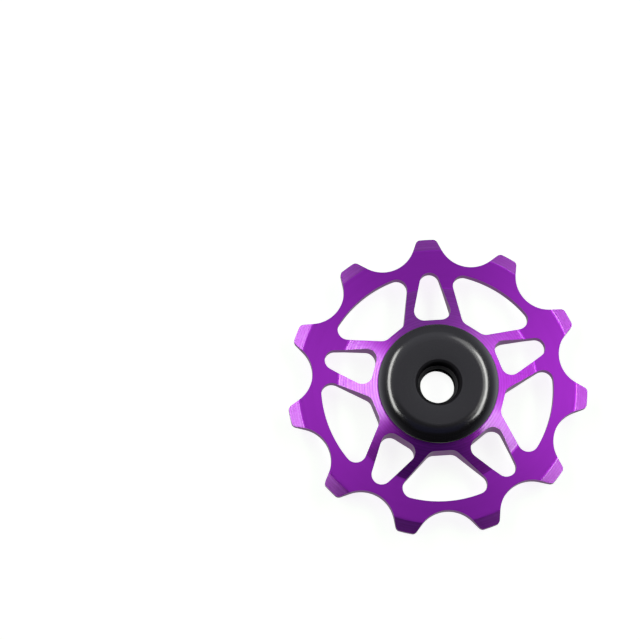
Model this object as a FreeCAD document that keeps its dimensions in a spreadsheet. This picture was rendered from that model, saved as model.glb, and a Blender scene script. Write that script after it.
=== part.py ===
import FreeCAD, Part
import math
import os
import Sketcher

# Derailleur pulley: a toothed aluminium wheel on a sealed ball bearing, held between two turned caps.
# The axis is Z, the wheel's middle plane is Z = 0, and one tooth stands on +Y.

doc = FreeCAD.newDocument("DerailleurPulley")
sheet = doc.addObject("Spreadsheet::Sheet", "Sizes")

# Sizes that can be set by themselves, in millimetres and degrees
sizes = {
    # toothed wheel
    "tooth_count": 11,  # teeth
    "window_count": 5,  # windows of each kind
    "root_r": 18.62,  # radius at the bottom of a tooth gap
    "root_arc": 4.9,  # radius of the gap's round bottom
    "flank_angle": 39.1,  # lean of a tooth flank from the gap's middle line
    "tooth_height": 3.72,  # height of the teeth above the gap bottoms
    "tip_corner": 0.88,  # rounding of a tooth corner
    "tip_break": 0.04,  # how far the corner round runs past the tip
    "rim_width": 1.9,  # thickness of rim and teeth
    "bevel_width": 1.72,  # radial width of the bevel on the tooth tips
    "bevel_angle": 15,  # slope of that bevel
    "cone_r": 14.82,  # radius where the flat rim meets the hub cone
    "hub_wall": 1.0,  # hub land around the bearing seat
    "small_rim": 1.41,  # rim between a small window and the gap bottoms' circle
    "small_end": 1.48,  # radius of its round outer end
    "small_angle": 15.25,  # lean of its sides
    "small_web": 1.72,  # hub between the bearing seat and its inner edge
    "small_corner": 1.5,  # radius of its inner corners
    "large_rim": 1.34,  # rim between a large window and the gap bottoms' circle
    "large_outer_corner": 1.55,  # radius of its outer corners
    "large_angle": 45.4,  # lean of its sides
    "large_web": 1.95,  # hub between the bearing seat and its inner edge
    "large_half": 1.84,  # half length of its inner edge, to the sharp corner
    "large_inner_corner": 1.5,  # radius of its inner corners
    # bearing
    "bearing_bore": 8,  # bearing bore
    "bearing_od": 16,  # bearing outer diameter
    "bearing_width": 5,  # bearing width, flush with the hub
    "ball_d": 2,  # ball diameter
    "race_play": 0.03,  # play between ball and race
    "land_gap": 0.6,  # distance of each ring's land from the ball circle
    "ring_chamfer": 0.25,  # chamfer on the rings' mounting edges
    "seal_seat": 0.8,  # wall of the outer ring beside a seal
    "seal_depth": 0.5,  # depth of a seal's seat
    "seal_inset": 0.1,  # seal face below the ring face
    "seal_play": 0.1,  # gap between seal lip and inner ring
    "cage_play": 0.1,  # gap between cage and lands
    "cage_web": 0.4,  # cage wall behind the balls
    "cage_grip": 0.6,  # cage reach past the ball centres
    "pocket_play": 0.05,  # play between ball and cage pocket
    # bush and caps
    "bore_d": 5.1,  # bore for the axle bolt
    "bush_length": 2.8,  # length of the spacer bush
    "bush_chamfer": 0.5,  # chamfer in the bush's bore
    "overall_width": 8,  # width over the two caps
    "cap_cover": 0.93,  # cap radius beyond the bearing seat
    "cap_edge": 2.73,  # radial width of the cap's round edge
    "cap_rim": 0.33,  # height of the cap's straight rim
    "cap_gap": 0.2,  # gap between cap and turning hub
    "cap_mouth": 0.5,  # cap bore beyond the bolt bore at its outer end
    "mouth_round": 0.42,  # radius of the rounded edge of a cap's bore
    "cap_throat": 0.45,  # cap bore beyond the bolt bore at its inner end
    "boss_step": 0.2,  # cap boss inside the inner ring's land
}

# Sizes that follow from them
derived = {
    # widths and radii
    "tip_r": "=root_r + tooth_height",  # radius over the teeth
    "rim_half": "=rim_width / 2",  # half rim thickness
    "bevel_r": "=tip_r - bevel_width",  # radius where the tip bevel starts
    "tip_half": "=rim_half - bevel_width * tan(bevel_angle)",  # half thickness at the tip
    "seat_r": "=bearing_od / 2",  # bearing seat radius
    "hub_r": "=seat_r + hub_wall",  # outer radius of the hub face
    "cap_r": "=seat_r + cap_cover",  # cap radius
    "hub_half": "=bearing_width / 2",  # half hub width
    "shaft_r": "=bearing_bore / 2",  # inner ring bore radius
    "ball_r": "=ball_d / 2",  # ball radius
    "ball_circle": "=(seat_r + shaft_r) / 2",  # radius of the ball circle
    "groove_r": "=ball_r + race_play",  # race groove radius
    "groove_half": "=sqrt(groove_r ^ 2 - land_gap ^ 2)",  # half width of a race groove
    "inner_land": "=ball_circle - land_gap",  # inner ring land radius
    "outer_land": "=ball_circle + land_gap",  # outer ring land radius
    "seal_seat_r": "=seat_r - seal_seat",  # seal seat radius
    "seal_floor": "=hub_half - seal_depth",  # height of a seal's inner face
    "seal_face": "=hub_half - seal_inset",  # height of a seal's outer face
    "seal_lip_r": "=inner_land + seal_play",  # seal lip radius
    "bore_edge_r": "=shaft_r + ring_chamfer",  # inner ring chamfer radius
    "seat_edge_r": "=seat_r - ring_chamfer",  # outer ring chamfer radius
    "ring_edge_half": "=hub_half - ring_chamfer",  # height of the rings' chamfers
    "cage_in": "=inner_land + cage_play",  # cage inner radius
    "cage_out": "=outer_land - cage_play",  # cage outer radius
    "pocket_r": "=ball_r + pocket_play",  # cage pocket radius
    "cage_back": "=pocket_r + cage_web",  # cage reach to its closed side
    "bore_r": "=bore_d / 2",  # bolt bore radius
    "bush_half": "=bush_length / 2",  # half bush length
    "bush_mouth_r": "=bore_r + bush_chamfer",  # bush chamfer radius
    "bush_bore_half": "=bush_half - bush_chamfer",  # half length of the bush's straight bore
    "cap_top": "=overall_width / 2",  # height of a cap's face
    "cap_under": "=hub_half + cap_gap",  # height of a cap's underside
    "cap_drop": "=cap_top - cap_under - cap_rim",  # height of the cap's round edge
    "cap_flat_r": "=cap_r - cap_edge",  # radius of the cap's flat face
    "cap_edge_z": "=cap_top - cap_drop",  # height where the round edge ends
    "cap_edge_arc": "=(cap_edge ^ 2 + cap_drop ^ 2) / (2 * cap_drop)",  # radius of the cap's round edge
    "mouth_r": "=bore_r + cap_mouth",  # cap bore radius below its rounded edge
    "mouth_edge_r": "=mouth_r + mouth_round",  # inner radius of the cap's flat face
    "mouth_z": "=cap_top - mouth_round",  # height where the rounded edge ends
    "throat_r": "=bore_r + cap_throat",  # cap bore radius at the bush
    "boss_r": "=inner_land - boss_step",  # cap boss radius
    # tooth gap: points of one gap, across (x) and outward (u) from the axis
    "gap_u": "=root_r + root_arc",  # centre of the gap's round bottom
    "gap_sum": "=root_arc + tip_corner",  # bottom radius plus corner radius
    "gap_reach": "=tip_r - tip_corner + tip_break",  # distance of a corner's centre from the axis
    "gap_side": "=gap_u * sin(flank_angle) - gap_sum",  # offset of the corner centres' line from the axis
    "gap_run": "=sqrt(gap_reach ^ 2 - gap_side ^ 2) - gap_u * cos(flank_angle)",  # straight flank length
    "gap_x1": "=root_arc * cos(flank_angle)",  # flank start, across
    "gap_u1": "=gap_u - root_arc * sin(flank_angle)",  # flank start, outward
    "gap_x2": "=gap_x1 + gap_run * sin(flank_angle)",  # flank end, across
    "gap_u2": "=gap_u1 + gap_run * cos(flank_angle)",  # flank end, outward
    "gap_share": "=1 + tip_corner / gap_reach",  # corner end over corner centre
    "gap_x3": "=(gap_x2 + tip_corner * cos(flank_angle)) * gap_share",  # corner end, across
    "gap_u3": "=(gap_u2 - tip_corner * sin(flank_angle)) * gap_share",  # corner end, outward
    "gap_u4": "=tip_r + root_arc / 2",  # outer edge of the gap's cut
    # small window: points of its right half
    "small_top_r": "=root_r - small_rim",  # outer reach
    "small_hub": "=seat_r + small_web",  # distance of the inner edge from the axis
    "sw_u": "=small_top_r - small_end",  # centre of the round outer end
    "sw_x1": "=small_end * cos(small_angle)",  # side start, across
    "sw_u1": "=sw_u + small_end * sin(small_angle)",  # side start, outward
    "sw_cu": "=small_hub + small_corner",  # centre of an inner corner, outward
    "sw_lean": "=small_end - small_corner + (sw_u - sw_cu) * sin(small_angle)",  # corner from side
    "sw_cx": "=sw_lean / cos(small_angle)",  # centre of an inner corner, across
    "sw_x2": "=sw_cx + small_corner * cos(small_angle)",  # side end, across
    "sw_u2": "=sw_cu + small_corner * sin(small_angle)",  # side end, outward
    # large window: points of its right half
    "large_outer_r": "=root_r - large_rim",  # radius of the outer edge
    "large_hub": "=seat_r + large_web",  # distance of the inner edge from the axis
    "lw_along": "=large_half * sin(large_angle) + large_hub * cos(large_angle)",  # corner along side
    "lw_side": "=large_hub * sin(large_angle) - large_half * cos(large_angle)",  # side line from the axis
    "lw_off": "=lw_side + large_outer_corner",  # corner centre's offset from the axis
    "lw_reach": "=large_outer_r - large_outer_corner",  # distance of an outer corner's centre from the axis
    "lw_run": "=sqrt(lw_reach ^ 2 - lw_off ^ 2) - lw_along",  # length of a side from the sharp corner
    "lw_x1": "=large_half + lw_run * sin(large_angle)",  # side's outer end, across
    "lw_u1": "=large_hub + lw_run * cos(large_angle)",  # side's outer end, outward
    "lw_share": "=large_outer_r / lw_reach",  # outer edge over corner centre
    "lw_x0": "=(lw_x1 - large_outer_corner * cos(large_angle)) * lw_share",  # outer edge's end, across
    "lw_u0": "=(lw_u1 + large_outer_corner * sin(large_angle)) * lw_share",  # outer edge's end, outward
    "lw_cut": "=large_inner_corner / tan(45 + large_angle / 2)",  # inner corner's reach along each edge
    "lw_x2": "=large_half + lw_cut * sin(large_angle)",  # side's inner end, across
    "lw_u2": "=large_hub + lw_cut * cos(large_angle)",  # side's inner end, outward
    "lw_x3": "=large_half - lw_cut",  # inner edge's end, across
}

for row, (name, value) in enumerate(list(sizes.items()) + list(derived.items()), 1):
    sheet.set("A%d" % row, name)
    sheet.set("B%d" % row, str(value))
    sheet.setAlias("B%d" % row, name)
doc.recompute()


def number(term):
    """Value of a size named by its alias, with a leading minus for its negative."""
    if term == "0":
        return 0.0
    name = term.lstrip("-")
    quantity = sheet.get(name)
    value = quantity.Value if hasattr(quantity, "Value") else float(quantity)
    return -value if term.startswith("-") else value


def formula(term):
    """Expression that reads the same size from the sheet."""
    if term.startswith("-"):
        return "-Sizes." + term[1:]
    return "Sizes." + term


def plane_of(body, role):
    """Origin plane of a body."""
    for feature in body.Origin.OriginFeatures:
        if feature.Role == role:
            return feature
    raise RuntimeError("no plane " + role)


def arc_between(start, end, radius, left):
    """Short arc from start to end, its centre to the left or right of the way."""
    chord = end - start
    middle = (start + end) * 0.5
    rise = math.sqrt(max(radius * radius - chord.Length * chord.Length / 4.0, 0.0))
    side = FreeCAD.Vector(-chord.y, chord.x, 0)
    side.normalize()
    centre = middle + side * (rise if left else -rise)
    first, last = (start, end) if left else (end, start)
    from_angle = math.atan2(first.y - centre.y, first.x - centre.x)
    to_angle = math.atan2(last.y - centre.y, last.x - centre.x)
    if to_angle < from_angle:
        to_angle += 2 * math.pi
    circle = Part.Circle(centre, FreeCAD.Vector(0, 0, 1), radius)
    return Part.ArcOfCircle(circle, from_angle, to_angle)


def closed_sketch(body, name, role, corners, arcs):
    """Closed outline; corners are pairs of size names, arcs maps a side to (radius, centre on the left)."""
    sketch = body.newObject("Sketcher::SketchObject", name)
    sketch.AttachmentSupport = [(plane_of(body, role), "")]
    sketch.MapMode = "FlatFace"
    doc.recompute()
    points = [FreeCAD.Vector(number(across), number(along), 0) for across, along in corners]
    count = len(points)
    for i in range(count):
        start = points[i]
        end = points[(i + 1) % count]
        if i in arcs:
            radius, left = arcs[i]
            edge = arc_between(start, end, number(radius), left)
        else:
            edge = Part.LineSegment(start, end)
        sketch.addGeometry(edge, False)
    ends = []
    for i in range(count):
        curve = sketch.Geometry[i]
        first = curve.StartPoint.distanceToPoint(points[i]) < curve.EndPoint.distanceToPoint(points[i])
        ends.append((1, 2) if first else (2, 1))
    for i in range(count):
        following = (i + 1) % count
        sketch.addConstraint(Sketcher.Constraint("Coincident", i, ends[i][1], following, ends[following][0]))
    for i in range(count):
        across, along = corners[i]
        for kind, term, letter in (("DistanceX", across, "X"), ("DistanceY", along, "Y")):
            if term == "0":
                axis = -2 if kind == "DistanceX" else -1
                sketch.addConstraint(Sketcher.Constraint("PointOnObject", i, ends[i][0], axis))
                continue
            index = sketch.addConstraint(Sketcher.Constraint(kind, -1, 1, i, ends[i][0], number(term)))
            label = "P%d%s" % (i, letter)
            sketch.renameConstraint(index, label)
            sketch.setExpression("Constraints." + label, formula(term))
    for i, (radius, left) in arcs.items():
        index = sketch.addConstraint(Sketcher.Constraint("Radius", i, number(radius)))
        label = "R%d" % i
        sketch.renameConstraint(index, label)
        sketch.setExpression("Constraints." + label, formula(radius))
    doc.recompute()
    return sketch


def mirrored(half):
    """Whole outline from its right half: the half in order, then its mirror image in reverse."""
    other = [("-" + across, along) for across, along in reversed(half)]
    return half + other


def turned(body, name, corners, arcs):
    """Solid turned about the body's Z axis; corners are (radius, height)."""
    sketch = closed_sketch(body, name + "Profile", "XZ_Plane", corners, arcs)
    turning = body.newObject("PartDesign::Revolution", name)
    turning.Profile = sketch
    turning.ReferenceAxis = (sketch, ["V_Axis"])
    turning.Angle = 360
    doc.recompute()
    return turning


def cut_through(body, name, corners, arcs, count):
    """Opening cut right through both faces and repeated around the axis."""
    before = body.Shape.Volume
    sketch = closed_sketch(body, name + "Outline", "XY_Plane", corners, arcs)
    pocket = body.newObject("PartDesign::Pocket", name)
    pocket.Profile = sketch
    pocket.Type = "ThroughAll"
    pocket.Midplane = True
    doc.recompute()
    if pocket.Shape.Volume >= before:
        raise RuntimeError(name + " cuts nothing")
    pattern = body.newObject("PartDesign::PolarPattern", name + "Ring")
    pattern.Originals = [pocket]
    pattern.Axis = (sketch, ["N_Axis"])
    pattern.Angle = 360
    pattern.setExpression("Occurrences", "Sizes." + count)
    body.Tip = pattern
    doc.recompute()
    return pattern


def new_body(label):
    """Empty body for one piece."""
    body = doc.addObject("PartDesign::Body", label)
    body.Label = label
    doc.recompute()
    return body


pieces = []

# Wheel: turned blank with a hub cone on both sides and a bevel on the tips, then gaps and windows
wheel = new_body("pulley_wheel")
blank = [
    ("seat_r", "hub_half"),
    ("hub_r", "hub_half"),
    ("cone_r", "rim_half"),
    ("bevel_r", "rim_half"),
    ("tip_r", "tip_half"),
    ("tip_r", "-tip_half"),
    ("bevel_r", "-rim_half"),
    ("cone_r", "-rim_half"),
    ("hub_r", "-hub_half"),
    ("seat_r", "-hub_half"),
]
turned(wheel, "WheelBlank", blank, {})

# One gap lies on -Y, opposite the tooth on +Y
gap = [
    ("gap_x1", "-gap_u1"),
    ("gap_x2", "-gap_u2"),
    ("gap_x3", "-gap_u3"),
    ("gap_x3", "-gap_u4"),
    ("-gap_x3", "-gap_u4"),
    ("-gap_x3", "-gap_u3"),
    ("-gap_x2", "-gap_u2"),
    ("-gap_x1", "-gap_u1"),
]
gap_arcs = {1: ("tip_corner", True), 5: ("tip_corner", True), 7: ("root_arc", False)}
cut_through(wheel, "ToothGap", gap, gap_arcs, "tooth_count")

# One small window lies on +Y, under the tooth
small = mirrored([("sw_x1", "sw_u1"), ("sw_x2", "sw_u2"), ("sw_cx", "small_hub")])
small_arcs = {1: ("small_corner", False), 3: ("small_corner", False), 5: ("small_end", False)}
cut_through(wheel, "SmallWindow", small, small_arcs, "window_count")

# One large window lies on -Y, between two small ones
large = mirrored([("lw_x0", "-lw_u0"), ("lw_x1", "-lw_u1"), ("lw_x2", "-lw_u2"), ("lw_x3", "-large_hub")])
large_arcs = {
    0: ("large_outer_corner", True),
    2: ("large_inner_corner", True),
    4: ("large_inner_corner", True),
    6: ("large_outer_corner", True),
    7: ("large_outer_r", True),
}
cut_through(wheel, "LargeWindow", large, large_arcs, "window_count")
pieces.append(wheel)

# Outer ring: race groove in the middle, a stepped seat for a seal at each end
outer_ring = new_body("bearing_outer_ring")
outer_profile = [
    ("seat_r", "-ring_edge_half"),
    ("seat_r", "ring_edge_half"),
    ("seat_edge_r", "hub_half"),
    ("seal_seat_r", "hub_half"),
    ("seal_seat_r", "seal_floor"),
    ("outer_land", "seal_floor"),
    ("outer_land", "groove_half"),
    ("outer_land", "-groove_half"),
    ("outer_land", "-seal_floor"),
    ("seal_seat_r", "-seal_floor"),
    ("seal_seat_r", "-hub_half"),
    ("seat_edge_r", "-hub_half"),
]
turned(outer_ring, "OuterRing", outer_profile, {6: ("groove_r", False)})
pieces.append(outer_ring)

# Inner ring: race groove outside, chamfered bore
inner_ring = new_body("bearing_inner_ring")
inner_profile = [
    ("shaft_r", "ring_edge_half"),
    ("shaft_r", "-ring_edge_half"),
    ("bore_edge_r", "-hub_half"),
    ("inner_land", "-hub_half"),
    ("inner_land", "-groove_half"),
    ("inner_land", "groove_half"),
    ("inner_land", "hub_half"),
    ("bore_edge_r", "hub_half"),
]
turned(inner_ring, "InnerRing", inner_profile, {4: ("groove_r", False)})
pieces.append(inner_ring)

# Cage: a crown whose pockets are open to the front
ball_count = 10
cage = new_body("ball_cage")
cage_profile = [
    ("cage_in", "-cage_back"),
    ("cage_out", "-cage_back"),
    ("cage_out", "cage_grip"),
    ("cage_in", "cage_grip"),
]
turned(cage, "CageRing", cage_profile, {})
solid_cage = cage.Shape.Volume
pocket_sketch = cage.newObject("Sketcher::SketchObject", "PocketOutline")
pocket_sketch.AttachmentSupport = [(plane_of(cage, "YZ_Plane"), "")]
pocket_sketch.MapMode = "FlatFace"
doc.recompute()
pocket_circle = Part.Circle(FreeCAD.Vector(0, 0, 0), FreeCAD.Vector(0, 0, 1), number("pocket_r"))
pocket_sketch.addGeometry(pocket_circle, False)
pocket_sketch.addConstraint(Sketcher.Constraint("Coincident", 0, 3, -1, 1))
pocket_radius = pocket_sketch.addConstraint(Sketcher.Constraint("Radius", 0, number("pocket_r")))
pocket_sketch.renameConstraint(pocket_radius, "PocketRadius")
pocket_sketch.setExpression("Constraints.PocketRadius", "Sizes.pocket_r")
ball_pocket = cage.newObject("PartDesign::Pocket", "BallPocket")
ball_pocket.Profile = pocket_sketch
ball_pocket.Type = "Length"
ball_pocket.Reversed = True
ball_pocket.setExpression("Length", "Sizes.seat_r")
doc.recompute()
if ball_pocket.Shape.Volume >= solid_cage:
    raise RuntimeError("the ball pocket cuts nothing")
pocket_ring = cage.newObject("PartDesign::PolarPattern", "BallPocketRing")
pocket_ring.Originals = [ball_pocket]
pocket_ring.Axis = (plane_of(cage, "Z_Axis"), [""])
pocket_ring.Angle = 360
pocket_ring.Occurrences = ball_count
cage.Tip = pocket_ring
doc.recompute()
pieces.append(cage)

# Balls, one in each pocket
for i in range(ball_count):
    ball = doc.addObject("Part::Sphere", "ball_%d" % (i + 1))
    ball.Label = "ball_%d" % (i + 1)
    ball.setExpression("Radius", "Sizes.ball_r")
    turn = "%d deg * 360 / %d" % (i, ball_count)
    ball.setExpression("Placement.Base.x", "Sizes.ball_circle * cos(" + turn + ")")
    ball.setExpression("Placement.Base.y", "Sizes.ball_circle * sin(" + turn + ")")
    pieces.append(ball)
doc.recompute()

# Seals, one for each end of the bearing
turned_over = FreeCAD.Rotation(FreeCAD.Vector(1, 0, 0), 180)
seal_profile = [
    ("seal_lip_r", "seal_floor"),
    ("seal_seat_r", "seal_floor"),
    ("seal_seat_r", "seal_face"),
    ("seal_lip_r", "seal_face"),
]
front_seal = new_body("front_seal")
turned(front_seal, "FrontSeal", seal_profile, {})
pieces.append(front_seal)
rear_seal = new_body("rear_seal")
turned(rear_seal, "RearSeal", seal_profile, {})
rear_seal.Placement = FreeCAD.Placement(FreeCAD.Vector(0, 0, 0), turned_over)
pieces.append(rear_seal)

# Bush: the axle bolt's bore, chamfered at both ends
bush = new_body("spacer_bush")
bush_profile = [
    ("bore_r", "bush_bore_half"),
    ("bore_r", "-bush_bore_half"),
    ("bush_mouth_r", "-bush_half"),
    ("shaft_r", "-bush_half"),
    ("shaft_r", "bush_half"),
    ("bush_mouth_r", "bush_half"),
]
turned(bush, "SpacerBush", bush_profile, {})
pieces.append(bush)

# Caps: spigot in the inner ring, boss on its face, round-edged flange over the hub
cap_profile = [
    ("throat_r", "bush_half"),
    ("shaft_r", "bush_half"),
    ("shaft_r", "hub_half"),
    ("boss_r", "hub_half"),
    ("boss_r", "cap_under"),
    ("cap_r", "cap_under"),
    ("cap_r", "cap_edge_z"),
    ("cap_flat_r", "cap_top"),
    ("mouth_edge_r", "cap_top"),
    ("mouth_r", "mouth_z"),
]
cap_arcs = {6: ("cap_edge_arc", True), 8: ("mouth_round", True)}
front_cap = new_body("front_cap")
turned(front_cap, "FrontCap", cap_profile, cap_arcs)
pieces.append(front_cap)
rear_cap = new_body("rear_cap")
turned(rear_cap, "RearCap", cap_profile, cap_arcs)
rear_cap.Placement = FreeCAD.Placement(FreeCAD.Vector(0, 0, 0), turned_over)
pieces.append(rear_cap)
doc.recompute()

# Every feature must have built, and every piece must be one sound solid
for item in doc.Objects:
    if "Invalid" in item.State or "Error" in item.State:
        raise RuntimeError("not built: " + item.Label)
for piece in pieces:
    if piece.Shape.isNull() or not piece.Shape.isValid():
        raise RuntimeError("not sound: " + piece.Label)
    if len(piece.Shape.Solids) != 1:
        raise RuntimeError("not one solid: " + piece.Label)

os.makedirs("parts", exist_ok=True)
for piece in pieces:
    piece.Shape.exportStep("parts/" + piece.Label + ".step")
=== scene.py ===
import math

import bpy
from mathutils import Matrix


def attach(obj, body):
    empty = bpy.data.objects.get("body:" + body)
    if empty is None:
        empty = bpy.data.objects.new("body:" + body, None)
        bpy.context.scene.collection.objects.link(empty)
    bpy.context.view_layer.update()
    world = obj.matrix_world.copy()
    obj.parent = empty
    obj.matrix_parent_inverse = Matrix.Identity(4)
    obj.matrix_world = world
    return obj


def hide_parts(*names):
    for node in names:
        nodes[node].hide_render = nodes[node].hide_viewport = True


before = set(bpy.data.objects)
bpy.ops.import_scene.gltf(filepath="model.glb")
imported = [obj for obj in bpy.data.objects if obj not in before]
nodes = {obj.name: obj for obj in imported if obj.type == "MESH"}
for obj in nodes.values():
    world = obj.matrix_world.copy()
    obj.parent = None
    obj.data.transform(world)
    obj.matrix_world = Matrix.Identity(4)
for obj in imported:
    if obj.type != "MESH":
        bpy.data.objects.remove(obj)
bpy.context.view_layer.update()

# Bearing rings: two steel races, hardened and ground round, that carry the balls in a groove.
# The outer one is pressed into the wheel and the inner one is clamped between the caps.
MM = 0.001
MIDDLE = 0.5  # middle of a mask or noise
NOISE_SPAN = (0.25, 0.75)  # where nearly all values of a noise lie
RING_SCALES = (1.0, 3.1)  # coarse and fine rings
RING_DETAIL = 3.0
PATCH_SCALE = 500.0  # patches in which the tool cut deeper or less deep, per metre
PATCH_DEPTH = (0.5, 1.3)
FEED_DRIFT = 5.0  # how far the feed lines stray from even steps, in radians
RING_RELIEF = 0.5  # strength of the rings' relief


def shader_material(name, metallic, roughness, colour):
    """Material with one Principled shader; returns the material, its node tree and the shader."""
    material = bpy.data.materials.new(name)
    material.use_nodes = True
    shader = material.node_tree.nodes["Principled BSDF"]
    shader.inputs["Metallic"].default_value = metallic
    shader.inputs["Roughness"].default_value = roughness
    shader.inputs["Base Color"].default_value = (*colour, 1.0)
    return material, material.node_tree, shader


def math_node(tree, operation, *values):
    """Math node on one to three values, each a socket or a number; returns its output."""
    node = tree.nodes.new("ShaderNodeMath")
    node.operation = operation
    for socket, value in zip(node.inputs, values):
        if isinstance(value, (int, float)):
            socket.default_value = value
        else:
            tree.links.new(value, socket)
    return node.outputs["Value"]


def remap(tree, value, source, target=(0.0, 1.0)):
    """Value taken from one range to another and held at the ends."""
    node = tree.nodes.new("ShaderNodeMapRange")
    for socket, number in zip(("From Min", "From Max", "To Min", "To Max"), (*source, *target)):
        node.inputs[socket].default_value = number
    tree.links.new(value, node.inputs["Value"])
    return node.outputs["Result"]


def cloud(tree, scale, detail=2.0):
    """Noise on the piece's own coordinates, with its scale per metre."""
    place = tree.nodes.new("ShaderNodeTexCoord")
    noise = tree.nodes.new("ShaderNodeTexNoise")
    noise.inputs["Scale"].default_value = scale
    noise.inputs["Detail"].default_value = detail
    tree.links.new(place.outputs["Object"], noise.inputs["Vector"])
    return noise.outputs["Fac"]


def mixed(tree, share, first, second):
    """Colour between two others, each a socket or a plain colour."""
    node = tree.nodes.new("ShaderNodeMix")
    node.data_type = "RGBA"
    tree.links.new(share, node.inputs["Factor"])
    for socket, colour in (("A", first), ("B", second)):
        if isinstance(colour, tuple):
            node.inputs[socket].default_value = (*colour, 1.0)
        else:
            tree.links.new(colour, node.inputs[socket])
    return node.outputs["Result"]


def make_turning_marks():
    """Group that gives the fine rings a lathe tool leaves around the axle."""
    group = bpy.data.node_groups.new("turning_marks", "ShaderNodeTree")
    for name in ("Rings per metre", "Fine share"):
        group.interface.new_socket(name, in_out="INPUT", socket_type="NodeSocketFloat")
    for name in ("Marks", "Feed"):
        group.interface.new_socket(name, in_out="OUTPUT", socket_type="NodeSocketFloat")
    given = group.nodes.new("NodeGroupInput")
    result = group.nodes.new("NodeGroupOutput")
    place = group.nodes.new("ShaderNodeTexCoord")
    split = group.nodes.new("ShaderNodeSeparateXYZ")
    group.links.new(place.outputs["Object"], split.inputs["Vector"])
    across = math_node(group, "MULTIPLY", split.outputs["X"], split.outputs["X"])
    along = math_node(group, "MULTIPLY", split.outputs["Y"], split.outputs["Y"])
    radius = math_node(group, "SQRT", math_node(group, "ADD", across, along))
    rings = math_node(group, "MULTIPLY", radius, given.outputs["Rings per metre"])
    tones = []
    for scale in RING_SCALES:
        noise = group.nodes.new("ShaderNodeTexNoise")
        noise.noise_dimensions = "1D"
        noise.inputs["Scale"].default_value = scale
        noise.inputs["Detail"].default_value = RING_DETAIL
        group.links.new(rings, noise.inputs["W"])
        tones.append(noise.outputs["Fac"])
    blend = group.nodes.new("ShaderNodeMix")
    group.links.new(given.outputs["Fine share"], blend.inputs["Factor"])
    group.links.new(tones[0], blend.inputs["A"])
    group.links.new(tones[1], blend.inputs["B"])
    depth = remap(group, cloud(group, PATCH_SCALE), NOISE_SPAN, PATCH_DEPTH)
    swing = math_node(group, "SUBTRACT", blend.outputs["Result"], MIDDLE)
    marks = math_node(group, "MULTIPLY_ADD", swing, depth, MIDDLE)
    group.links.new(marks, result.inputs["Marks"])
    drift = math_node(group, "MULTIPLY", tones[0], FEED_DRIFT)
    phase = math_node(group, "ADD", math_node(group, "MULTIPLY", rings, 2 * math.pi), drift)
    half_depth = math_node(group, "MULTIPLY", depth, 0.5)
    feed = math_node(group, "MULTIPLY_ADD", math_node(group, "SINE", phase), half_depth, MIDDLE)
    group.links.new(feed, result.inputs["Feed"])
    return group


turning_marks = make_turning_marks()


def add_marks(tree, rings, fine):
    """Turning marks in a material; returns the marks and the feed lines."""
    node = tree.nodes.new("ShaderNodeGroup")
    node.node_tree = turning_marks
    node.inputs["Rings per metre"].default_value = rings
    node.inputs["Fine share"].default_value = fine
    return node.outputs["Marks"], node.outputs["Feed"]


def relief(tree, shader, height, depth, strength):
    """Small relief of that depth in metres on a shader."""
    bump = tree.nodes.new("ShaderNodeBump")
    bump.inputs["Strength"].default_value = strength
    bump.inputs["Distance"].default_value = depth
    tree.links.new(height, bump.inputs["Height"])
    tree.links.new(bump.outputs["Normal"], shader.inputs["Normal"])


def ringed_finish(name, metallic, dark, light, rough, rings, fine, depth):
    """Finish with fine rings in its tone, gloss and relief; returns the material and its shader."""
    material, tree, shader = shader_material(name, metallic, rough[0], light)
    marks, _ = add_marks(tree, rings, fine)
    tree.links.new(mixed(tree, remap(tree, marks, NOISE_SPAN), dark, light), shader.inputs["Base Color"])
    tree.links.new(remap(tree, marks, NOISE_SPAN, rough), shader.inputs["Roughness"])
    relief(tree, shader, marks, depth, RING_RELIEF)
    return material, shader


def dress(piece, material):
    """Gives a piece one material."""
    piece.data.materials.clear()
    piece.data.materials.append(material)


race_steel, _ = ringed_finish(
    "ground_race_steel", metallic=1.0, dark=(0.42, 0.42, 0.44), light=(0.56, 0.56, 0.57),
    rough=(0.16, 0.26), rings=9000.0, fine=0.5, depth=0.0015 * MM,
)
dress(nodes["bearing_inner_ring"], race_steel)
dress(nodes["bearing_outer_ring"], race_steel)

# Balls: polished bearing balls that roll in the grooves of the two rings.
# They are lapped to a mirror, with only a faint cloud in the polish.
BALL_COUNT = 10
BALL_CLOUDS = 900.0  # per metre
BALL_ROUGH = (0.05, 0.14)
ball_steel, ball_tree, ball_shader = shader_material(
    "lapped_ball", metallic=1.0, roughness=0.08, colour=(0.62, 0.62, 0.64)
)
ball_polish = remap(ball_tree, cloud(ball_tree, BALL_CLOUDS), NOISE_SPAN, BALL_ROUGH)
ball_tree.links.new(ball_polish, ball_shader.inputs["Roughness"])
for number in range(1, BALL_COUNT + 1):
    dress(nodes["ball_%d" % number], ball_steel)

# Ball cage: one moulded crown of glass-filled nylon that snaps over the balls and keeps them apart.
# The moulding is matt, with a faint flow pattern.
CAGE_DARK = (0.47, 0.38, 0.23)
CAGE_LIGHT = (0.60, 0.51, 0.34)
CAGE_ROUGH = (0.42, 0.58)
CAGE_FLOW = 1400.0  # per metre
CAGE_FLOW_DETAIL = 4.0
cage_nylon, cage_tree, cage_shader = shader_material(
    "moulded_cage", metallic=0.0, roughness=0.5, colour=(0.56, 0.47, 0.30)
)
cage_flow = cloud(cage_tree, CAGE_FLOW, CAGE_FLOW_DETAIL)
cage_tree.links.new(mixed(cage_tree, cage_flow, CAGE_DARK, CAGE_LIGHT), cage_shader.inputs["Base Color"])
cage_tree.links.new(remap(cage_tree, cage_flow, NOISE_SPAN, CAGE_ROUGH), cage_shader.inputs["Roughness"])
dress(nodes["ball_cage"], cage_nylon)

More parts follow.
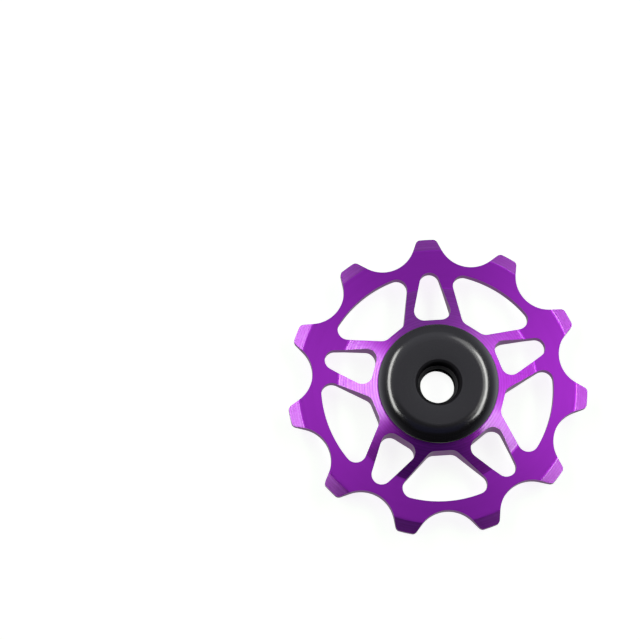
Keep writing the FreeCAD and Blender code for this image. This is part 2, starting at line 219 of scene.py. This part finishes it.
# Seals: thin rubber shields pressed into both ends of the outer ring, to keep dirt out and grease in.
# They are moulded in black rubber with a fine ring texture.
seal_rubber, _ = ringed_finish(
    "moulded_seal_rubber", metallic=0.0, dark=(0.010, 0.010, 0.011), light=(0.020, 0.020, 0.021),
    rough=(0.55, 0.7), rings=5000.0, fine=0.4, depth=0.004 * MM,
)
dress(nodes["front_seal"], seal_rubber)
dress(nodes["rear_seal"], seal_rubber)

# Wheel: toothed wheel turned from aluminium, thick at the hub and thin at the rim, then milled out.
# It is anodised violet, and the turned faces keep the fine rings of the tool.
TEETH = 11
ROOT_R = 18.62 * MM  # bottom of a tooth gap
ROOT_ARC = 4.9 * MM  # round of that bottom
FLANK = math.radians(39.1)  # lean of a flank from the gap's middle line
TIP_R = 22.34 * MM
TIP_CORNER = 0.88 * MM  # rounding of a tooth's corners
TIP_RUN_OUT = 0.04 * MM  # how far that rounding reaches past the tip
RIM_HALF = 0.95 * MM  # half of the rim's thickness
BEVEL_R = 20.62 * MM  # where the bevel of the teeth starts
BEVEL_SLOPE = math.radians(15.0)
TIP_HALF = RIM_HALF - (TIP_R - BEVEL_R) * math.tan(BEVEL_SLOPE)
CONE_R = 14.82 * MM  # foot of the hub's cone
HUB_R = 9.0 * MM
HUB_HALF = 2.5 * MM  # half of the hub's thickness
SEAT_R = 8.0 * MM  # seat of the bearing
WINDOWS = 5  # of each kind
SMALL_TOP = 17.21 * MM  # outer end of a small window
SMALL_END = 1.48 * MM  # round of that end
SMALL_LEAN = math.radians(15.25)  # lean of its sides
SMALL_HUB = 9.72 * MM  # its edge beside the hub
SMALL_CORNER = 1.5 * MM
LARGE_R = 17.28 * MM  # outer edge of a large window
LARGE_OUTER_CORNER = 1.55 * MM
LARGE_LEAN = math.radians(45.4)  # lean of its sides
LARGE_HUB = 9.95 * MM  # its edge beside the hub
LARGE_HALF = 1.84 * MM  # half of that edge
LARGE_INNER_CORNER = 1.5 * MM
CUT_HALF = 4.0 * MM  # reach of the cutters to each side
CUT_PAST = 2.0 * MM  # reach of a gap's cutter past the teeth
EASE = 0.18 * MM  # rounding of the turned corners
EASE_STRIP = 1.5  # end of the strip beside a rounding, in roundings
EASE_STEPS = 4
EDGE_BREAK = 0.05 * MM
SHARP = math.radians(35.0)  # edges past this are broken
WHEEL_CREASE = math.radians(12.0)  # edges past this stay hard
WHEEL_STEPS = 264
MERGE = 1e-7
WALL_TILT = 0.5  # upright part of the normal, below which a face is a wall


def only(piece):
    """Selects one piece alone and makes it active."""
    bpy.ops.object.select_all(action="DESELECT")
    piece.select_set(True)
    bpy.context.view_layer.objects.active = piece


def turned(name, profile, steps):
    """Turns a closed profile of (radius, height) around the axle, ring by ring."""
    bpy.ops.object.select_all(action="DESELECT")
    last_r, last_z = profile[0]
    bpy.ops.mesh.primitive_circle_add(vertices=steps, radius=last_r, location=(0, 0, last_z))
    piece = bpy.context.object
    piece.name = name
    bpy.ops.object.transform_apply(location=True)
    bpy.ops.object.mode_set(mode="EDIT")
    bpy.ops.mesh.select_all(action="SELECT")
    for radius, height in profile[1:] + profile[:1]:
        bpy.ops.mesh.extrude_region_move(TRANSFORM_OT_translate={"value": (0, 0, height - last_z)})
        share = radius / last_r
        bpy.ops.transform.resize(value=(share, share, 1), center_override=(0, 0, height))
        last_r, last_z = radius, height
    bpy.ops.mesh.select_all(action="SELECT")
    bpy.ops.mesh.remove_doubles(threshold=MERGE)
    bpy.ops.mesh.normals_make_consistent(inside=False)
    bpy.ops.object.mode_set(mode="OBJECT")
    return piece


def arc_points(centre, radius, start, end, steps):
    """Points of an arc from one angle to another."""
    angles = [start + (end - start) * i / steps for i in range(steps + 1)]
    return [(centre[0] + radius * math.cos(a), centre[1] + radius * math.sin(a)) for a in angles]


def mirrored(half):
    """Left half of an outline from its right half."""
    return [(-x, y) for x, y in reversed(half)]


def gap_outline():
    """Tooth gap on +Y: round bottom, straight flanks, rounded tooth corners."""
    middle = ROOT_R + ROOT_ARC
    reach = TIP_R - TIP_CORNER + TIP_RUN_OUT
    offset = middle * math.sin(FLANK) - ROOT_ARC - TIP_CORNER
    run = math.sqrt(reach * reach - offset * offset) - middle * math.cos(FLANK)
    out = ROOT_ARC + TIP_CORNER
    corner_x = out * math.cos(FLANK) + run * math.sin(FLANK)
    corner_y = middle - out * math.sin(FLANK) + run * math.cos(FLANK)
    away = math.atan2(corner_y, corner_x)
    half = arc_points((0, middle), ROOT_ARC, -math.pi / 2, -FLANK, steps=14)
    half += arc_points((corner_x, corner_y), TIP_CORNER, math.pi - FLANK, away, steps=8)
    half.append((half[-1][0], TIP_R + CUT_PAST))
    return half + mirrored(half)


def small_outline():
    """Small window on +Y: full round outside, leaning sides, rounded inner corners."""
    middle = SMALL_TOP - SMALL_END
    corner_y = SMALL_HUB + SMALL_CORNER
    lean = SMALL_END - SMALL_CORNER + (middle - corner_y) * math.sin(SMALL_LEAN)
    corner_x = lean / math.cos(SMALL_LEAN)
    half = arc_points((0, middle), SMALL_END, math.pi / 2, SMALL_LEAN, steps=12)[1:]
    half += arc_points((corner_x, corner_y), SMALL_CORNER, SMALL_LEAN, -math.pi / 2, steps=14)
    return [(0, SMALL_TOP)] + half + mirrored(half)


def large_outline():
    """Large window on +Y: outer edge round the axle, leaning sides, rounded corners."""
    along = LARGE_HALF * math.sin(LARGE_LEAN) + LARGE_HUB * math.cos(LARGE_LEAN)
    offset = LARGE_HUB * math.sin(LARGE_LEAN) - LARGE_HALF * math.cos(LARGE_LEAN) + LARGE_OUTER_CORNER
    reach = LARGE_R - LARGE_OUTER_CORNER
    run = math.sqrt(reach * reach - offset * offset) - along
    corner_x = LARGE_HALF + run * math.sin(LARGE_LEAN) - LARGE_OUTER_CORNER * math.cos(LARGE_LEAN)
    corner_y = LARGE_HUB + run * math.cos(LARGE_LEAN) + LARGE_OUTER_CORNER * math.sin(LARGE_LEAN)
    away = math.atan2(corner_y, corner_x)
    inner_x = LARGE_HALF - LARGE_INNER_CORNER / math.tan(math.pi / 4 + LARGE_LEAN / 2)
    inner_y = LARGE_HUB + LARGE_INNER_CORNER
    half = arc_points((0, 0), LARGE_R, math.pi / 2, away, steps=12)[1:]
    half += arc_points((corner_x, corner_y), LARGE_OUTER_CORNER, away, -LARGE_LEAN, steps=14)[1:]
    half += arc_points((inner_x, inner_y), LARGE_INNER_CORNER, -LARGE_LEAN, -math.pi / 2, steps=8)
    return [(0, LARGE_R)] + half + mirrored(half)


def cutter(name, outline):
    """Upright block with that outline, to mill an opening with."""
    bpy.ops.object.select_all(action="DESELECT")
    bpy.ops.mesh.primitive_circle_add(vertices=len(outline), radius=TIP_R, fill_type="NGON")
    block = bpy.context.object
    block.name = name
    for vertex, (x, y) in zip(block.data.vertices, outline):
        vertex.co = (x, y, -CUT_HALF)
    bpy.ops.object.mode_set(mode="EDIT")
    bpy.ops.mesh.select_all(action="SELECT")
    bpy.ops.mesh.extrude_region_move(TRANSFORM_OT_translate={"value": (0, 0, 2 * CUT_HALF)})
    bpy.ops.mesh.select_all(action="SELECT")
    bpy.ops.mesh.normals_make_consistent(inside=False)
    bpy.ops.object.mode_set(mode="OBJECT")
    return block


def copied(piece, name, move):
    """Copy of a piece with its own mesh, turned by a matrix."""
    copy = piece.copy()
    copy.data = piece.data.copy()
    copy.name = name
    copy.data.transform(move)
    bpy.context.collection.objects.link(copy)
    return copy


def apply_modifier(piece, kind, **settings):
    """Adds a modifier with these settings and applies it."""
    only(piece)
    modifier = piece.modifiers.new(kind.lower(), kind)
    for key, value in settings.items():
        setattr(modifier, key, value)
    bpy.ops.object.modifier_apply(modifier=modifier.name)


def break_edges(piece, width, crease):
    """Takes the burr off sharp edges, then shades smooth what bends less than the crease."""
    apply_modifier(piece, "BEVEL", width=width, segments=1, limit_method="ANGLE", angle_limit=SHARP)
    only(piece)
    bpy.ops.object.shade_smooth_by_angle(angle=crease)


def eased(before, corner, after):
    """Points of a softly rounded corner of a profile, with a narrow straight strip at each end."""
    ends = []
    for other in (before, after):
        length = math.dist(corner, other)
        for reach in (EASE_STRIP * EASE, EASE):
            ends.append([c + (o - c) * reach / length for c, o in zip(corner, other)])
    points = [ends[0]]
    for i in range(EASE_STEPS + 1):
        t = i / EASE_STEPS
        sides = zip(ends[1], corner, ends[3])
        points.append([a * (1 - t) ** 2 + 2 * c * t * (1 - t) + b * t ** 2 for a, c, b in sides])
    return [tuple(point) for point in points + [ends[2]]]


cone_top = (HUB_R, HUB_HALF)
cone_foot = (CONE_R, RIM_HALF)
bevel_top = (BEVEL_R, RIM_HALF)
bevel_foot = (TIP_R, TIP_HALF)
wheel_front = [(SEAT_R, HUB_HALF), cone_top] + eased(cone_top, cone_foot, bevel_top)
wheel_front += eased(cone_foot, bevel_top, bevel_foot) + [bevel_foot]
wheel_rear = [(r, -z) for r, z in reversed(wheel_front)]
wheel = turned("toothed_wheel", wheel_front + wheel_rear, WHEEL_STEPS)
# Each kind of opening has a name, an outline, a count and its first one's place in steps from +Y
OPENINGS = (
    ("gap_block", gap_outline(), TEETH, 0.5),
    ("small_block", small_outline(), WINDOWS, 0.0),
    ("large_block", large_outline(), WINDOWS, 0.5),
)
blocks = []
for block_name, outline, count, first in OPENINGS:
    model = cutter(block_name, outline)
    for i in range(count):
        turn = Matrix.Rotation(2 * math.pi * (i + first) / count, 4, "Z")
        blocks.append(copied(model, block_name, turn))
    bpy.data.objects.remove(model)
only(blocks[0])
for block in blocks:
    block.select_set(True)
bpy.ops.object.join()
apply_modifier(wheel, "BOOLEAN", operation="DIFFERENCE", solver="EXACT", object=blocks[0])
bpy.data.objects.remove(blocks[0])
break_edges(wheel, EDGE_BREAK, WHEEL_CREASE)

# Level faces are painted lighter and slopes darker than the one violet dye, for the light each catches;
# bevels lie between.
VIOLET_DARK = (0.43, 0.035, 0.68)
VIOLET = (0.59, 0.050, 0.89)
SLOPE_DARK = (0.35, 0.026, 0.52)
SLOPE = (0.42, 0.032, 0.62)
BEVEL_DARK = (0.43, 0.026, 0.61)
BEVEL = (0.48, 0.031, 0.70)
# Walls: the same violet painted darker, as painted shade inside the windows; their light and dark rings
# are tool marks.
WALL_DARK = (0.23, 0.069, 0.285)
WALL = (0.27, 0.081, 0.335)
FACE_RIM = (0.75, 0.50, 0.80)  # tint at a glancing angle
WALL_RIM = (0.40, 0.42, 0.38)
WHEEL_RINGS = 2600.0
WHEEL_FINE = 0.45
WHEEL_ROUGH = (0.29, 0.355)
BEVEL_ROUGH = (0.33, 0.395)
LEVEL_TO_SLOPE = (0.992, 0.980)  # upright part of the normal on level faces and on slopes
LEVEL_CONTRAST = 0.3  # contrast of the lines on level faces
LEVEL_TONE = 0.35  # share of the light tone where those lines are darkest
LINE_SPAN = (0.34, 0.66)
LINE_RELIEF = 0.006 * MM
LINE_STRENGTH = 0.6
LEVEL_RELIEF = 0.3  # share of the relief that level faces keep
GRAIN_SCALE = 4500.0  # fine sparkle in the sheen, per metre
GRAIN_DEPTH = (0.4, 1.0)
ANISOTROPY = 0.42


def anodised(name, dark, light, rough, coat_rough, coat_ior, streak):
    """Violet face as turned: quiet where it is level, lined and with a clear sheen where it slopes;
    level faces and slopes get tones painted lighter and darker for the light each catches.
    """
    material, tree, shader = shader_material(name, 1.0, rough[0], VIOLET)
    shader.inputs["Specular Tint"].default_value = (*FACE_RIM, 1.0)
    shader.inputs["Anisotropic"].default_value = ANISOTROPY
    shader.inputs["Coat IOR"].default_value = coat_ior
    shader.inputs["Coat Roughness"].default_value = coat_rough
    marks, feed = add_marks(tree, WHEEL_RINGS, WHEEL_FINE)
    lines = math_node(tree, "MULTIPLY", math_node(tree, "ADD", marks, feed), 0.5)
    streaks = remap(tree, lines, LINE_SPAN)
    place = tree.nodes.new("ShaderNodeTexCoord")
    normal = tree.nodes.new("ShaderNodeSeparateXYZ")
    tree.links.new(place.outputs["Normal"], normal.inputs["Vector"])
    sloped = remap(tree, math_node(tree, "ABSOLUTE", normal.outputs["Z"]), LEVEL_TO_SLOPE)
    # Painted light and shade: level faces take the lighter violet, slopes the darker one, by the tilt of
    # the normal; the lines in each are turning marks.
    level_share = math_node(tree, "MULTIPLY_ADD", marks, LEVEL_CONTRAST, LEVEL_TONE)
    level_tone = mixed(tree, level_share, VIOLET_DARK, VIOLET)
    slope_tone = mixed(tree, streaks, dark, light)
    tree.links.new(mixed(tree, sloped, level_tone, slope_tone), shader.inputs["Base Color"])
    tree.links.new(remap(tree, marks, NOISE_SPAN, rough), shader.inputs["Roughness"])
    sheen = math_node(tree, "MULTIPLY_ADD", streaks, streak, 1.0 - streak)
    sparkle = remap(tree, cloud(tree, GRAIN_SCALE), NOISE_SPAN, GRAIN_DEPTH)
    coat = math_node(tree, "MULTIPLY", math_node(tree, "MULTIPLY", sloped, sheen), sparkle)
    tree.links.new(coat, shader.inputs["Coat Weight"])
    outward = tree.nodes.new("ShaderNodeVectorMath")
    outward.operation = "MULTIPLY"
    outward.inputs[1].default_value = (1.0, 1.0, 0.0)
    tree.links.new(place.outputs["Object"], outward.inputs[0])
    tree.links.new(outward.outputs["Vector"], shader.inputs["Tangent"])
    depth_share = math_node(tree, "MULTIPLY_ADD", sloped, 1.0 - LEVEL_RELIEF, LEVEL_RELIEF)
    relief(tree, shader, math_node(tree, "MULTIPLY", lines, depth_share), LINE_RELIEF, LINE_STRENGTH)
    return material


def face_radius(face):
    """Distance of a face's middle from the axle."""
    return math.hypot(face.center.x, face.center.y)


def is_bevel(face):
    """True for a face of a tooth's bevel."""
    return face_radius(face) > BEVEL_R + EASE


def is_wall(face):
    """True for a face that stands along the axle."""
    return abs(face.normal.z) < WALL_TILT


def dress_faces(piece, material, chosen):
    """Gives the faces that a test picks out a further material."""
    piece.data.materials.append(material)
    for face in piece.data.polygons:
        if chosen(face):
            face.material_index = len(piece.data.materials) - 1


violet_turned = anodised(
    "violet_turned", SLOPE_DARK, SLOPE, WHEEL_ROUGH, coat_rough=0.12, coat_ior=1.97, streak=0.6
)
violet_bevels = anodised(
    "violet_bevels", BEVEL_DARK, BEVEL, BEVEL_ROUGH, coat_rough=0.27, coat_ior=2.15, streak=0.35
)
# The milled walls take a darker violet: painted shade.
violet_walls_painted_shade, wall_shader = ringed_finish(
    "violet_walls_painted_shade", metallic=1.0, dark=WALL_DARK, light=WALL,
    rough=WHEEL_ROUGH, rings=WHEEL_RINGS, fine=WHEEL_FINE, depth=0.003 * MM,
)
wall_shader.inputs["Specular Tint"].default_value = (*WALL_RIM, 1.0)
dress(wheel, violet_turned)
dress_faces(wheel, violet_bevels, is_bevel)
dress_faces(wheel, violet_walls_painted_shade, is_wall)
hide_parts("pulley_wheel")
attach(wheel, "wheel")

# Spacer bush: short dark steel sleeve inside the inner ring, with the bore for the axle bolt.
# Both ends of the bore are chamfered, and the caps clamp it from either side.
BOLT_R = 2.55 * MM
BUSH_R = 4.0 * MM
BUSH_HALF = 1.4 * MM
BUSH_CHAMFER = 0.5 * MM
BUSH_MOUTH_R = BOLT_R + BUSH_CHAMFER
BUSH_BORE_HALF = BUSH_HALF - BUSH_CHAMFER
BUSH_BREAK = 0.03 * MM
BUSH_STEPS = 128
ROUND_CREASE = math.radians(30.0)
BUSH_TURNING = {"rough": (0.35, 0.45), "rings": 8000.0, "fine": 0.5, "depth": 0.001 * MM}
bush_profile = [
    (BOLT_R, BUSH_BORE_HALF), (BOLT_R, -BUSH_BORE_HALF), (BUSH_MOUTH_R, -BUSH_HALF),
    (BUSH_R, -BUSH_HALF), (BUSH_R, BUSH_HALF), (BUSH_MOUTH_R, BUSH_HALF),
]
bush = turned("spacer_sleeve", bush_profile, BUSH_STEPS)
break_edges(bush, BUSH_BREAK, ROUND_CREASE)
bush_steel, _ = ringed_finish(
    "dark_sleeve_steel", 0.0, dark=(0.08, 0.08, 0.082), light=(0.12, 0.12, 0.123), **BUSH_TURNING
)
# Its upright faces, the bore and the outside, take a far darker tone with no gloss: painted shade in the
# bore.
bush_bore, bush_bore_shader = ringed_finish(
    "dark_sleeve_bore_painted_shade", 0.0, dark=(0.017, 0.017, 0.018), light=(0.023, 0.023, 0.024), **BUSH_TURNING
)
bush_bore_shader.inputs["Specular IOR Level"].default_value = 0.0
dress(bush, bush_steel)
dress_faces(bush, bush_bore, is_wall)
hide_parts("spacer_bush")
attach(bush, "axle")

# Caps: two black anodised covers turned from aluminium bar, one on each side of the hub.
# A spigot sits in the inner ring, and a round-edged flange shields the bearing.
CAP_R = 8.93 * MM
CAP_TOP = 4.0 * MM  # outer face
CAP_UNDER = 2.7 * MM  # underside of the flange
CAP_RIM = 0.33 * MM  # straight part of the flange's rim
CAP_FLAT_R = 6.2 * MM  # where the round edge starts
BOSS_R = 5.2 * MM  # boss that clamps the inner ring
MOUTH_R = 3.05 * MM  # bore below its rounded mouth
MOUTH_ROUND = 0.42 * MM
THROAT_R = 3.0 * MM  # bore at the bush
BORED_R = 3.44 * MM  # faces inside this belong to the bore
CAP_BREAK = 0.06 * MM
CAP_STEPS = 192
CAP_DARK = (0.008, 0.0076, 0.009)
CAP_LIGHT = (0.013, 0.0124, 0.0143)
# The bore and its mouth take a lighter black with no gloss: painted light in the shaded throat.
BORE_DARK = (0.016, 0.0155, 0.017)
BORE_LIGHT = (0.023, 0.0225, 0.0245)
CAP_IOR = 2.1
CAP_TURNING = {"rings": 4200.0, "fine": 0.5, "depth": 0.0002 * MM}
TURNED_OVER = Matrix.Diagonal((1.0, -1.0, -1.0, 1.0))  # half a turn about X


def cap_profile():
    """Closed profile of the front cap, from its throat round the flange to its mouth."""
    drop = CAP_TOP - CAP_UNDER - CAP_RIM
    width = CAP_R - CAP_FLAT_R
    arc_r = (width * width + drop * drop) / (2 * drop)
    sweep = math.asin(width / arc_r)
    profile = [
        (THROAT_R, BUSH_HALF), (BUSH_R, BUSH_HALF), (BUSH_R, HUB_HALF), (BOSS_R, HUB_HALF),
        (BOSS_R, CAP_UNDER), (CAP_R, CAP_UNDER),
    ]
    middle = (CAP_FLAT_R, CAP_TOP - arc_r)
    profile += arc_points(middle, arc_r, math.pi / 2 - sweep, math.pi / 2, steps=24)
    middle = (MOUTH_R + MOUTH_ROUND, CAP_TOP - MOUTH_ROUND)
    profile += arc_points(middle, MOUTH_ROUND, math.pi / 2, math.pi, steps=10)
    return profile


def is_bored(face):
    """True for a face of the cap's bore and its mouth."""
    return face_radius(face) < BORED_R


cap_black, cap_shader = ringed_finish(
    "black_anodised", 0.0, CAP_DARK, CAP_LIGHT, rough=(0.13, 0.175), **CAP_TURNING
)
cap_shader.inputs["IOR"].default_value = CAP_IOR
# Painted light: the bore's lighter black lifts its shaded throat.
cap_bore, cap_bore_shader = ringed_finish(
    "black_anodised_bore_painted_light", 0.0, BORE_DARK, BORE_LIGHT, rough=(0.58, 0.625), **CAP_TURNING
)
cap_bore_shader.inputs["Specular IOR Level"].default_value = 0.0
front_cover = turned("front_cover", cap_profile(), CAP_STEPS)
break_edges(front_cover, CAP_BREAK, ROUND_CREASE)
dress(front_cover, cap_black)
dress_faces(front_cover, cap_bore, is_bored)
rear_cover = copied(front_cover, "rear_cover", TURNED_OVER)
for cap, cap_node in ((front_cover, "front_cap"), (rear_cover, "rear_cap")):
    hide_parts(cap_node)
    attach(cap, "axle")

# Floor: a plain pale sheet under the pulley, which lies on its rear cap.
# It stays nearly white to the camera and in reflections, and keeps the soft shadow.
# It glows a little more under the bore, where no lamp reaches it.
FLOOR_SIZE = 4.0
FLOOR_GAP = 0.01 * MM
FLOOR_COLOUR = (0.37, 0.52, 0.32)
FLOOR_ROUGH = 0.9
FLOOR_GLOW = 0.84
BORE_GLOW = 0.12
BORE_SHADE = (5.5 * MM, 4.5 * MM)  # distance from the pulley's middle over which that glow fades in
bpy.ops.object.select_all(action="DESELECT")
bpy.ops.mesh.primitive_plane_add(size=FLOOR_SIZE, location=(0, 0, -CAP_TOP - FLOOR_GAP))
floor = bpy.context.object
floor.name = "pale_sheet"
bpy.ops.object.transform_apply(location=True)
floor_paper, floor_tree, floor_shader = shader_material("pale_paper", 0.0, FLOOR_ROUGH, FLOOR_COLOUR)
floor_path = floor_tree.nodes.new("ShaderNodeLightPath")
floor_seen = floor_path.outputs["Is Camera Ray"]
for ray in ("Is Glossy Ray", "Is Transmission Ray"):
    floor_seen = math_node(floor_tree, "MAXIMUM", floor_seen, floor_path.outputs[ray])
floor_place = floor_tree.nodes.new("ShaderNodeTexCoord")
floor_reach = floor_tree.nodes.new("ShaderNodeVectorMath")
floor_reach.operation = "LENGTH"
floor_tree.links.new(floor_place.outputs["Object"], floor_reach.inputs[0])
under_bore = remap(floor_tree, floor_reach.outputs["Value"], BORE_SHADE)
floor_level = math_node(floor_tree, "MULTIPLY_ADD", under_bore, BORE_GLOW, FLOOR_GLOW)
floor_glow = math_node(floor_tree, "MULTIPLY", floor_seen, floor_level)
floor_shader.inputs["Emission Color"].default_value = (1.0, 1.0, 1.0, 1.0)
floor_tree.links.new(floor_glow, floor_shader.inputs["Emission Strength"])
dress(floor, floor_paper)

# Light: tall soft boxes to the left and right of the pulley, wide weak panels beyond and before it,
# and a dim room. The camera looks down on the front cap at the photograph's angle.
WARM = (1.0, 1.0, 0.97)
COOL = (0.98, 0.98, 1.10)
BLUE = (0.32, 0.35, 1.0)
# Each lamp has a name, a place, a width and height, a power and a colour
LAMPS = (
    ("left_strip", (-0.318, 0.199, 0.60), (0.104, 0.60), 1.00, WARM),
    ("right_strip", (0.325, 0.079, 0.60), (0.098, 0.487), 0.72, WARM),
    ("right_panel", (0.262, 0.215, 0.60), (0.20, 0.50), 0.31, WARM),
    ("top_panel", (0.03, 0.534, 0.90), (0.70, 0.90), 0.255, COOL),
    ("near_panel", (0.0, -0.29, 0.85), (0.60, 0.34), 0.042, BLUE),
)
for lamp_name, lamp_place, lamp_size, lamp_power, lamp_colour in LAMPS:
    lamp_data = bpy.data.lights.new(lamp_name, "AREA")
    lamp_data.shape = "RECTANGLE"
    lamp_data.size, lamp_data.size_y = lamp_size
    lamp_data.energy = lamp_power
    lamp_data.color = lamp_colour
    lamp = bpy.data.objects.new(lamp_name, lamp_data)
    bpy.context.scene.collection.objects.link(lamp)
    lamp.location = lamp_place
    lamp.rotation_euler = (0, math.atan2(lamp_place[0], lamp_place[2]), 0)

FAR_WALL = (-0.25, 3.75)  # the room grows lighter towards +Y
UPPER_WALL = (-0.6, 0.7)  # and from the floor upwards
SIDE_LEVEL = 2.4  # light low on the left and right walls
SIDE_MOST = 0.95
world = bpy.data.worlds.new("studio")
bpy.context.scene.world = world
world.use_nodes = True
world_tree = world.node_tree
world_place = world_tree.nodes.new("ShaderNodeTexCoord")
toward = world_tree.nodes.new("ShaderNodeSeparateXYZ")
world_tree.links.new(world_place.outputs["Generated"], toward.inputs["Vector"])
far_light = remap(world_tree, toward.outputs["Y"], FAR_WALL)
upper_light = remap(world_tree, toward.outputs["Z"], UPPER_WALL)
room_light = math_node(world_tree, "MULTIPLY", far_light, upper_light)
near_floor = math_node(world_tree, "SUBTRACT", 1.0, toward.outputs["Z"])
near_floor = math_node(world_tree, "MULTIPLY", near_floor, near_floor)
sideways = math_node(world_tree, "MULTIPLY", toward.outputs["X"], toward.outputs["X"])
sideways = math_node(world_tree, "MULTIPLY", sideways, sideways)
sideways = math_node(world_tree, "MULTIPLY", sideways, SIDE_LEVEL)
side_light = math_node(world_tree, "MULTIPLY", near_floor, sideways)
side_light = math_node(world_tree, "MINIMUM", side_light, SIDE_MOST)
world_path = world_tree.nodes.new("ShaderNodeLightPath")
room_level = math_node(world_tree, "ADD", room_light, side_light)
room_level = math_node(world_tree, "MAXIMUM", room_level, world_path.outputs["Is Camera Ray"])
background = world_tree.nodes["Background"]
background.inputs["Color"].default_value = (*COOL, 1.0)
world_tree.links.new(room_level, background.inputs["Strength"])

LENS = 203.734
SENSOR = 36.0
CAMERA_PLACE = (-0.042128, -0.095206, 0.528116)
CAMERA_TURN = (11.54302, -1.96095, -3.93458)  # in degrees
camera_data = bpy.data.cameras.new("camera")
camera_data.lens = LENS
camera_data.sensor_width = SENSOR
camera = bpy.data.objects.new("camera", camera_data)
bpy.context.scene.collection.objects.link(camera)
camera.location = CAMERA_PLACE
camera.rotation_euler = [math.radians(angle) for angle in CAMERA_TURN]
bpy.context.scene.camera = camera
bpy.context.scene.view_settings.view_transform = "Standard"

bpy.context.view_layer.update()
